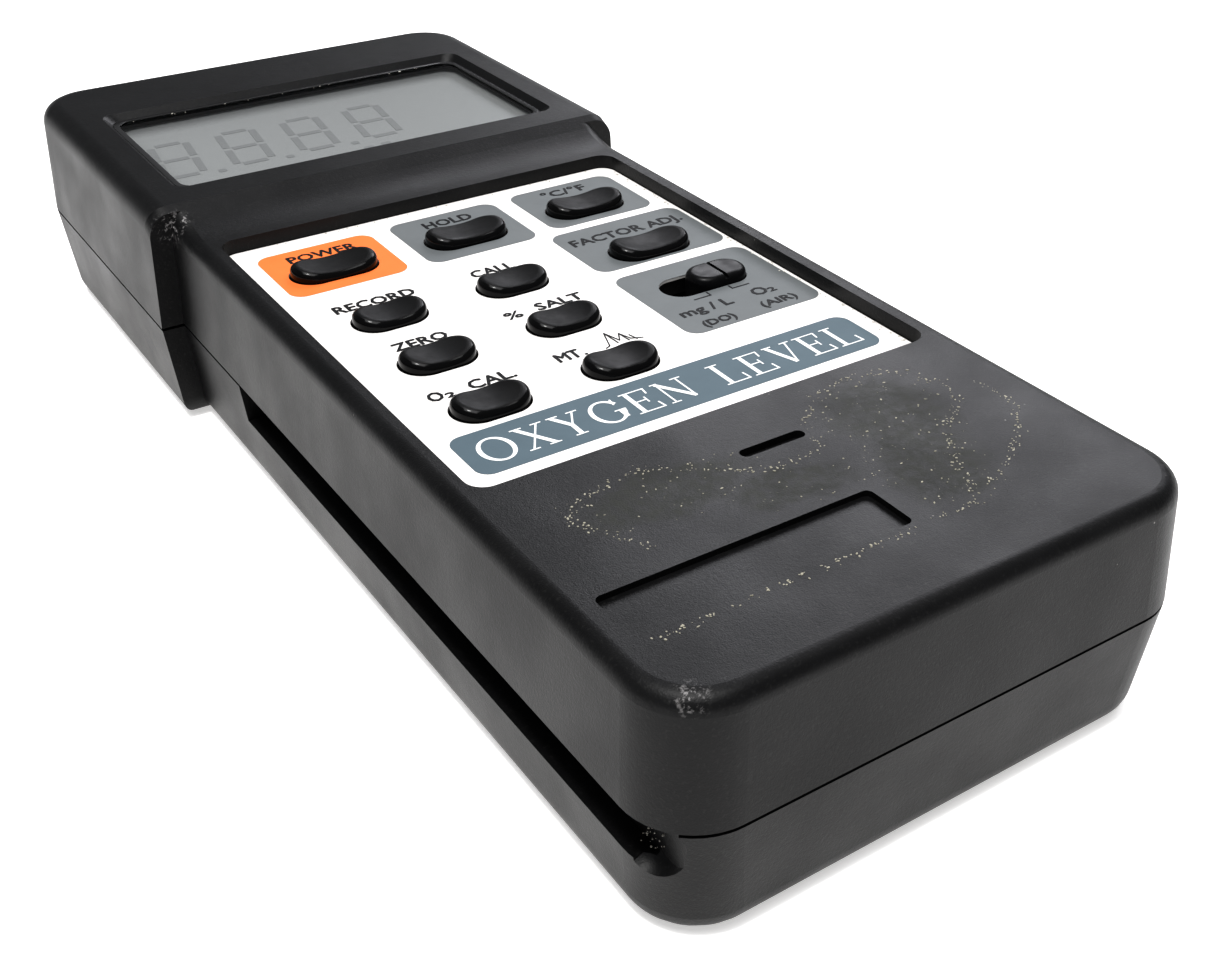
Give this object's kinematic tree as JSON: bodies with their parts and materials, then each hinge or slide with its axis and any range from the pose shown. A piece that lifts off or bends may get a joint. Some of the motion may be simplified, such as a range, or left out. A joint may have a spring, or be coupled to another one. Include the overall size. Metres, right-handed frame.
{
  "type": "handheld dissolved oxygen meter",
  "caption": "Slim handheld water quality meter: wide display head, keypad with raised keys and a slide switch, two-part plastic case, battery door on the back and a round probe socket.",
  "frame": {"origin": "on the back face, in the middle of the outline", "axes": "+X to the right seen from the front, +Y along the meter towards the display head, +Z out of the front face"},
  "size_m": [0.0744, 0.18, 0.0324],
  "materials": {
    "case_plastic": "moulded ABS with a fine spark texture",
    "label_film": "printed plastic film, satin",
    "window_clear": "clear acrylic, polished",
    "display_cell": "reflective liquid crystal cell, grey",
    "frame_plastic": "black moulded plastic",
    "contact_rubber": "layered contact rubber",
    "board_laminate": "glass fibre laminate with green resist",
    "chip_epoxy": "moulded epoxy",
    "mat_rubber": "silicone rubber",
    "switch_metal": "tinned steel",
    "knob_plastic": "black acetal, satin",
    "key_plastic": "black glossy plastic",
    "screw_steel": "zinc plated steel",
    "battery_can": "painted can",
    "socket_metal": "nickel plated brass",
    "socket_insulator": "black thermoplastic",
    "jack_plastic": "black thermoplastic"
  },
  "bodies": {
    "housing": {"front_cover": "case_plastic", "back_cover": "case_plastic", "label_panel": "label_film", "display_window": "window_clear", "display_glass": "display_cell", "display_frame": "frame_plastic", "display_contacts": "contact_rubber", "main_board": "board_laminate", "processor_chip": "chip_epoxy", "board_components": "chip_epoxy", "key_mat": "mat_rubber", "mode_switch_body": "switch_metal", "case_screws": "screw_steel", "board_screws": "screw_steel", "battery": "battery_can", "battery_snap": "frame_plastic", "probe_socket_shell": "socket_metal", "probe_socket_insert": "socket_insulator", "probe_socket_nut": "socket_metal", "data_jack": "jack_plastic"},
    "mode_knob": {"mode_switch_knob": "knob_plastic"},
    "battery_door": {"battery_cover": "case_plastic", "battery_cover_screw": "screw_steel"},
    "power_key_cap": {"power_key": "key_plastic"},
    "hold_key_cap": {"hold_key": "key_plastic"},
    "units_key_cap": {"units_key": "key_plastic"},
    "factor_key_cap": {"factor_key": "key_plastic"},
    "record_key_cap": {"record_key": "key_plastic"},
    "recall_key_cap": {"recall_key": "key_plastic"},
    "zero_key_cap": {"zero_key": "key_plastic"},
    "salt_key_cap": {"salt_key": "key_plastic"},
    "calibrate_key_cap": {"calibrate_key": "key_plastic"},
    "altitude_key_cap": {"altitude_key": "key_plastic"}
  },
  "joints": [
    {"name": "power_key_press", "type": "slide", "parent": "housing", "child": "power_key_cap", "axis": [0, 0, -1], "range_m": [0, 0.001], "stiffness_N_per_m": 900, "springref_m": -0.0002},
    {"name": "hold_key_press", "type": "slide", "parent": "housing", "child": "hold_key_cap", "axis": [0, 0, -1], "range_m": [0, 0.001], "stiffness_N_per_m": 900, "springref_m": -0.0002},
    {"name": "units_key_press", "type": "slide", "parent": "housing", "child": "units_key_cap", "axis": [0, 0, -1], "range_m": [0, 0.001], "stiffness_N_per_m": 900, "springref_m": -0.0002},
    {"name": "factor_key_press", "type": "slide", "parent": "housing", "child": "factor_key_cap", "axis": [0, 0, -1], "range_m": [0, 0.001], "stiffness_N_per_m": 900, "springref_m": -0.0002},
    {"name": "record_key_press", "type": "slide", "parent": "housing", "child": "record_key_cap", "axis": [0, 0, -1], "range_m": [0, 0.001], "stiffness_N_per_m": 900, "springref_m": -0.0002},
    {"name": "recall_key_press", "type": "slide", "parent": "housing", "child": "recall_key_cap", "axis": [0, 0, -1], "range_m": [0, 0.001], "stiffness_N_per_m": 900, "springref_m": -0.0002},
    {"name": "zero_key_press", "type": "slide", "parent": "housing", "child": "zero_key_cap", "axis": [0, 0, -1], "range_m": [0, 0.001], "stiffness_N_per_m": 900, "springref_m": -0.0002},
    {"name": "salt_key_press", "type": "slide", "parent": "housing", "child": "salt_key_cap", "axis": [0, 0, -1], "range_m": [0, 0.001], "stiffness_N_per_m": 900, "springref_m": -0.0002},
    {"name": "calibrate_key_press", "type": "slide", "parent": "housing", "child": "calibrate_key_cap", "axis": [0, 0, -1], "range_m": [0, 0.001], "stiffness_N_per_m": 900, "springref_m": -0.0002},
    {"name": "altitude_key_press", "type": "slide", "parent": "housing", "child": "altitude_key_cap", "axis": [0, 0, -1], "range_m": [0, 0.001], "stiffness_N_per_m": 900, "springref_m": -0.0002},
    {"name": "mode_knob_slide", "type": "slide", "parent": "housing", "child": "mode_knob", "axis": [-1, 0, 0], "range_m": [0, 0.004]},
    {"name": "battery_door_pull", "type": "slide", "parent": "housing", "child": "battery_door", "axis": [0, 0, -1], "range_m": [0, 0.015]}
  ]
}
